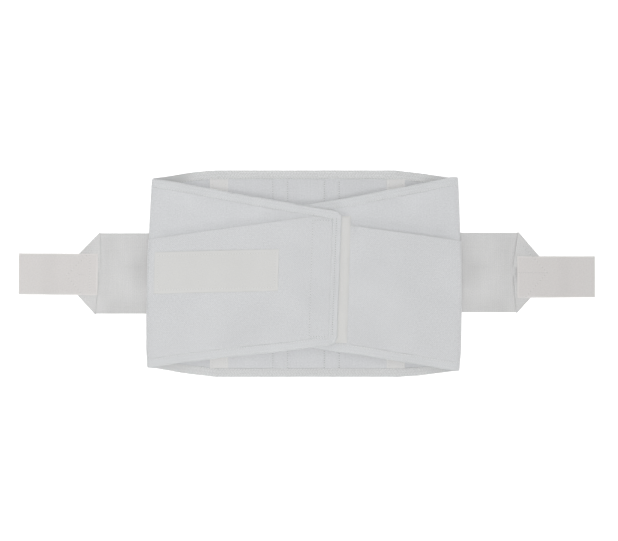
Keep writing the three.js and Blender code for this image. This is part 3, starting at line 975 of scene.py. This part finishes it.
def strapBand(strap):
    root, tip = strapShape["root"], strap["point"][0]
    columns = round((tip - root) / strapShape["cell"])
    rows = round((strap["top"] - strap["bottom"]) / strapShape["cell"])
    bm = clothGrid(columns, rows)
    for vert in bm.verts:
        vert.co.x = mix(root, tip, (vert.co.x + 1) / 2)
        vert.co.y = mix(strap["bottom"], strap["top"], (vert.co.y + 1) / 2)
    lines = foldLines(strap)
    width, radius = strapShape["foldWidth"], strapShape["foldRadius"]
    for start, out in lines:
        for share in (0, 0.25, 0.5, 0.75, 1):
            cut = start + out * (width * share + 0.001)
            bmesh.ops.bisect_plane(bm, geom=bm.verts[:] + bm.edges[:] + bm.faces[:], dist=0.0005,
                                   plane_co=(cut.x, cut.y, 0), plane_no=(out.x, out.y, 0))
    places = {}
    for vert in bm.verts:
        flat = Vector((vert.co.x, vert.co.y))
        at, z = flat.copy(), strapShape["middle"]
        for start, out in lines:
            past = (flat - start).dot(out)
            if past > 0:
                turn = math.pi * min(1, past / width)
                reach = radius * math.sin(turn) - max(0, past - width)
                at += out * (reach - past)
                loose = strap["loose"] * easeStep(past, width, strapShape["looseWithin"])
                z += radius * (1 - math.cos(turn)) + loose
        z += strapShape["wave"] * (1 + wobble(at.x, at.y, strapShape["waveSize"], strap["side"]))
        places[vert] = (Vector((strap["side"] * at.x, at.y, z)), (flat.x, flat.y), strapShape["thick"], 0.0)
    settle(bm, places, strapShape["thick"])
    name = strap["name"] + "_strap"
    piece = addPiece(bm, name + "_band", ["elasticWeb"], name)
    return thicken(piece, strapShape["thick"], rounding=0.25)


def tabPlace(strap, u, across, lift):
    tab = strap["tab"]
    centre = Vector(((tab["from"] + tab["to"]) / 2, tab["centreY"]))
    at = Vector((u, tab["centreY"] + across)) - centre
    at.rotate(Matrix.Rotation(math.radians(tab["turn"]), 2))
    at += centre
    drop = strap["point"][0] + tabShape["dropFrom"]
    under = (tabShape["over"] + strap["loose"]) * (1 - easeStep(u, drop, drop + tabShape["dropLength"]))
    wave = tabShape["wave"] * (1 + wobble(u, across, tabShape["waveSize"], 2 + strap["side"]))
    under += floorClear + wave * easeStep(u, drop, tab["to"])
    return Vector((strap["side"] * at.x, at.y, under + lift))


def tabTape(strap):
    tab, half = strap["tab"], tabShape["width"] / 2

    def lay(u, across):
        inside = min(half - abs(across), u - tab["from"], tab["to"] - u)
        border = tapeBorder(inside, tabShape["border"])
        thick = tabShape["thick"] * (1 - 0.3 * border)
        return tabPlace(strap, u, across, thick / 2), (u, across), thick, border

    bm = layCloth(tapeSteps(tab["from"], tab["to"]), tapeSteps(-half, half), lay, tabShape["thick"])
    name = strap["name"] + "_tab"
    piece = addPiece(bm, name + "_tape", ["tabTape"], name)
    return thicken(piece, tabShape["thick"], rounding=0.25)


bands = {strap["name"]: strapBand(strap) for strap in straps}
tabs = {strap["name"]: tabTape(strap) for strap in straps}
print("straps folded and tabs laid on them")

# Stitches: a bead of thread for each, and between two the needle hole, a dark disc of painted shade
stitch = {
    "pitch": 3.3, "length": 2.1, "width": 0.55, "height": 0.4, "hole": 0.42, "holeDepth": 0.1, "proud": 0.06,
    "lowest": 0.32, "batch": 60,
}
toMetres = Matrix.Scale(mm, 4)


def rowPlaces(way, pitch):  # places along a row, each with the way ahead, aside and out
    places = np.array([at for at, out in way])
    outs = np.array([out for at, out in way])
    reach = np.concatenate([[0], np.cumsum(np.linalg.norm(np.diff(places, axis=0), axis=1))])
    count = max(2, round(reach[-1] / pitch))
    at = np.arange(2 * count) * reach[-1] / (2 * count)

    def between(values, distance):
        return np.array([np.interp(distance, reach, values[:, k]) for k in range(3)]).T

    ahead = between(places, at + 0.4) - between(places, at - 0.4)
    for place, forward, out in zip(between(places, at), ahead, between(outs, at)):
        forward, out = Vector(forward).normalized(), Vector(out).normalized()
        place[2] = max(place[2], stitch["lowest"])  # rows on the underside are pressed in by the floor
        yield Vector(place), forward, out.cross(forward), out


def sewPart(bm, part, hole, thickness):
    for i, (place, forward, side, out) in part:
        if i % 2:
            width, height = stitch["width"] * thickness, stitch["height"] * thickness
            axes = side * width / 2, out * height / 2, forward * stitch["length"] / 2
            turned = Matrix(axes).transposed().to_4x4()
            turned.translation = place + out * stitch["proud"]
            bmesh.ops.create_uvsphere(bm, u_segments=6, v_segments=4, radius=1, matrix=toMetres @ turned)
        else:
            turned = Matrix((forward, side, out)).transposed().to_4x4()
            turned.translation = place + out * stitch["proud"]
            made = bmesh.ops.create_cone(bm, cap_ends=True, segments=6, radius1=hole, radius2=hole * 0.7,
                                         depth=stitch["holeDepth"], matrix=toMetres @ turned)
            for face in {face for vert in made["verts"] for face in vert.link_faces}:
                face.material_index = 1


def stitches(name, rows):
    whole = bmesh.new()
    for way, options in rows:
        look = {"pitch": stitch["pitch"], "hole": stitch["hole"], "thickness": 1.0, **options}
        places = list(enumerate(rowPlaces(way, look["pitch"])))
        for first in range(0, len(places), stitch["batch"]):  # short lengths keep the operators quick
            part = bmesh.new()
            sewPart(part, places[first:first + stitch["batch"]], look["hole"], look["thickness"])
            length = toMesh(part, "length")
            whole.from_mesh(length)
            bpy.data.meshes.remove(length)
    return addPiece(whole, name, ["thread", "needleHoleShade"])


def patternRow(place, corners, n, cell=2.0):  # place(a, b, n) along straight lines on the pattern
    way = []
    for (a0, b0), (a1, b1) in zip(corners, corners[1:]):
        count = max(1, round(math.hypot(a1 - a0, b1 - b0) / cell))
        for i in range(count + 1):
            a, b = mix(a0, a1, i / count), mix(b0, b1, i / count)
            height = n(a, b) if callable(n) else n
            way.append((place(a, b, height), place(a, b, height + 1) - place(a, b, height)))
    return way


def sideBindingRows(run):
    way = bindingWay(run)
    rows = []
    for face in (1, -1):
        n = bindingShape["stitchHeight"] * face
        row = []
        for i in range(len(way)):
            at = onBinding(way, i, bindingShape["sewnAt"])
            row.append((run.point(at.x, at.y, n), run.point(at.x, at.y, n + face) - run.point(at.x, at.y, n)))
        row = [row[0]] + [b for a, b in zip(row, row[1:]) if (b[0] - a[0]).length > 0.05]
        rows.append((row, {"hole": 0.27}))
    return rows


def flatRow(corners, z, up=1):
    return patternRow(lambda x, y, n: Vector((x, y, z + up * n)), corners, 0)


def onBack(x, y, n):
    return Vector((x, y, backTop(x, y) + n))


def onSeam(run):
    z = seamTape["under"] + seamTape["thick"] * seamTape["thin"] - seamTape["groove"]
    return lambda x, y, n: Vector((x + seamWander(run, y), y, z + n))


for run in runs:
    stitches(run.name + "_binding_stitches", sideBindingRows(run))
rowReach = {"back": 107, "channel": 113.5, "seam": 111}  # straight rows run this far from the middle

backRows = []
for turn in (1, -1):
    y = turn * (backShape["halfHeight"] - bindingShape["sewnAt"])
    ends = [(-rowReach["back"], y), (rowReach["back"], y)]
    backRows.append((flatRow(ends, backShape["middle"] + bindingShape["stitchHeight"]), {"hole": 0.3}))
    backRows.append((flatRow(ends, backShape["middle"] - bindingShape["stitchHeight"], -1), {}))
stitches("back_binding_stitches", backRows)

channelRows = []
for centre, hole in zip(backShape["channels"], backShape["holes"]):
    for side in (-1, 1):
        x = centre + side * backShape["channelHalf"]
        line = patternRow(onBack, [(x, -rowReach["channel"]), (x, rowReach["channel"])], 0)
        channelRows.append((line, {"pitch": 2.8, "hole": hole}))
stitches("stay_channel_stitches", channelRows)

seamRows = []
for run in runs:
    for side in (-1, 1):
        x = seamMiddle(run) + side * (seamTape["width"] / 2 - seamTape["sewnAt"])
        line = patternRow(onSeam(run), [(x, -rowReach["seam"]), (x, rowReach["seam"])], 0.02)
        seamRows.append((line, {"hole": 0.24}))
stitches("seam_tape_stitches", seamRows)

start, end = patchStart + patch["sewnAt"], patchEnd - patch["sewnAt"]
high = patch["width"] / 2 - patch["sewnAt"]
corners = [(start, -high), (end, -high), (end, high), (start, high), (start, -high)]
patchRow = patternRow(patchPlace, corners, layers["patchUnder"] + layers["patchThick"] - patch["sunk"])
stitches("front_patch_stitches", [(patchRow, {"hole": 0.2})])

# Rows through the end of the left front: a box that holds the closure tape, and a bold row on the binding
endRows = {"fromEnd": 33, "toEnd": 11, "top": 64, "bottom": -75, "boldInset": 9, "boldHeight": 1.48}
boxLeft, boxRight = leftRun.endAt - endRows["fromEnd"], leftRun.endAt - endRows["toEnd"]
corners = [(boxRight, endRows["top"]), (boxLeft, endRows["top"])]
corners += [(boxLeft, endRows["bottom"]), (boxRight, endRows["bottom"])]
box = patternRow(leftRun.point, corners, lambda s, y: overlayOuterAt(leftRun, s, y))
boldS = leftRun.endAt - bindingShape["endSewnAt"]
boldTop = leftRun.edge(boldS, 1) - endRows["boldInset"]
boldBottom = leftRun.edge(boldS, 2) + endRows["boldInset"]
bold = patternRow(leftRun.point, [(boldS, boldTop), (boldS, boldBottom)], endRows["boldHeight"])
endLines = [(box, {"hole": 0.38}), (bold, {"pitch": 2.8, "hole": 0.5})]
stitches("front_end_stitches", endLines)

# Rows on the folded ends of the straps: the point, the line across it and the slit between the corners
strapRows = [
    {
        "point": [(260.5, 27.7), (290.5, -2.2), (263, -35.5)], "across": [(262, 22), (262, -23)],
        "slit": (270.5, 277),
    },
    {"point": [(262, 32.7), (290.4, 1.1), (262.5, -30.4)], "across": None, "slit": (256, 292)},
]


def endTop(strap, u, y):  # height of the cloth that a row on the strap's end is sewn to
    tab = strap["tab"]
    if abs(y - tab["centreY"]) < tabShape["width"] / 2 and u > tab["from"]:
        return tabPlace(strap, u, y - tab["centreY"], tabShape["thick"]).z
    return strapShape["foldedTop"] + strap["loose"]


def endRow(strap, corners):
    def place(u, y, n):
        return Vector((strap["side"] * u, y, endTop(strap, u, y) + n))

    return patternRow(place, corners, 0.0, 1.0)


for strap, rows in zip(straps, strapRows):
    lines = [(endRow(strap, rows["point"]), {"pitch": 4.4, "hole": 0.32, "thickness": 0.8})]
    if rows["across"]:
        lines.append((endRow(strap, rows["across"]), {"hole": 0.26, "thickness": 0.8}))
    slit = [(u, strap["point"][1]) for u in rows["slit"]]
    lines.append((endRow(strap, slit), {"pitch": 1.0, "hole": 0.26, "thickness": 0.4}))
    stitches(strap["name"] + "_strap_stitches", lines)


# Each cloth piece as it was cut, in metres
def flatOf(columns, heights):
    strips = [(b - a) * height for a, b, height in zip(columns, columns[1:], heights)]
    return (columns[-1] - columns[0]) * mm, max(heights) * mm, sum(strips) * mm * mm


def panelFlat(run):
    columns = run.columns + [run.endAt]
    return flatOf(columns, [run.edge(s, 1) - run.edge(s, 2) for s in columns])


def overlayFlat(run):
    start, end = run.sOfBack(overlayShape["backEnd"]), run.endAt - overlayShape["inset"]
    columns = [start] + [s for s in run.columns if start < s < end] + [end]
    return flatOf(columns, [overlayTopAt(run, s) - run.edge(s, 2) - overlayShape["inset"] for s in columns])


for run in runs:
    length, height, area = panelFlat(run)
    length, height, area = overlayFlat(run)
for strap in straps:
    name = strap["name"]
    length = strap["tab"]["to"] - strap["tab"]["from"]

# Pale floor, soft light from above and the camera straight over the belt
studio = {
    "floor": (0.985, 0.985, 0.985), "floorReach": 12, "glow": 0.15, "world": 0.08, "backdrop": 0.9,
    "camera": (0.00276, 0.00384, 2.0), "lens": 96.2,
    "lights": {  # the sun has a spread, area lights have a size, and all but the key light aim at the belt
        "evenLight": {"power": 0.94, "at": (0, 0, 3), "spread": 3},
        "keyLight": {"power": 18.7, "at": (0, 0, 2.05), "aim": (-2.6, 0, 0), "size": (0.12, 0.4)},
        "frontFill": {"power": 4.8, "at": (-0.1, -0.48, 1.95), "size": (0.4, 0.4)},
        "backFill": {"power": 2, "at": (0, 0.8, 1.85), "size": (1.2, 0.8)},
        "lowFrontFill": {"power": 13, "at": (0, -2.0, 0.95), "size": (1.6, 0.9)},
        "lowBackFill": {"power": 10, "at": (0, 2.0, 0.95), "size": (1.6, 0.9)},
        "leftFill": {"power": 6, "at": (-1.6, 0, 1.5), "size": (1.0, 1.0)},
        "rightFill": {"power": 8.2, "at": (1.6, 0, 1.5), "size": (1.0, 1.0)},
    },
}
bm = bmesh.new()
bmesh.ops.create_grid(bm, x_segments=8, y_segments=8, size=studio["floorReach"])
floor = newObject("floor", toMesh(bm, "floor"))
paper, _, plain = newMaterial("floorPaper")
plain["Base Color"].default_value = (*studio["floor"], 1)
plain["Roughness"].default_value = 0.8
plain["Emission Color"].default_value = (1, 1, 1, 1)
plain["Emission Strength"].default_value = studio["glow"]
floor.data.materials.append(paper)


def softLight(name, look):
    light = bpy.data.lights.new(name, "SUN" if "spread" in look else "AREA")
    light.energy = look["power"]
    if "spread" in look:
        light.angle = math.radians(look["spread"])
    else:
        light.shape = "RECTANGLE"
        light.size, light.size_y = look["size"]
    lamp = newObject(name, light)
    lamp.location = look["at"]
    ahead = Vector(look.get("aim", (0, 0, 0))) - Vector(look["at"])
    lamp.rotation_euler = ahead.to_track_quat("-Z", "Y").to_euler()


for name, look in studio["lights"].items():
    softLight(name, look)
world = bpy.data.worlds.new("studioWorld")
world.use_nodes = True
sky = world.node_tree
backdrop = sky.nodes["Background"].inputs
backdrop["Color"].default_value = (1, 1, 1, 1)
seen = sky.nodes.new("ShaderNodeLightPath").outputs["Is Camera Ray"]  # the camera sees a paler backdrop
strength = mathNode(sky, "MULTIPLY_ADD", seen, studio["backdrop"] - studio["world"], studio["world"])
sky.links.new(strength, backdrop["Strength"])
bpy.context.scene.world = world
bpy.context.scene.view_settings.view_transform = "Standard"

camera = bpy.data.cameras.new("camera")
camera.lens = studio["lens"]
camera.sensor_width = 36
camera.sensor_fit = "HORIZONTAL"
cameraObject = newObject("camera", camera)
cameraObject.location = studio["camera"]
bpy.context.scene.camera = cameraObject
print("floor, lights and camera set")
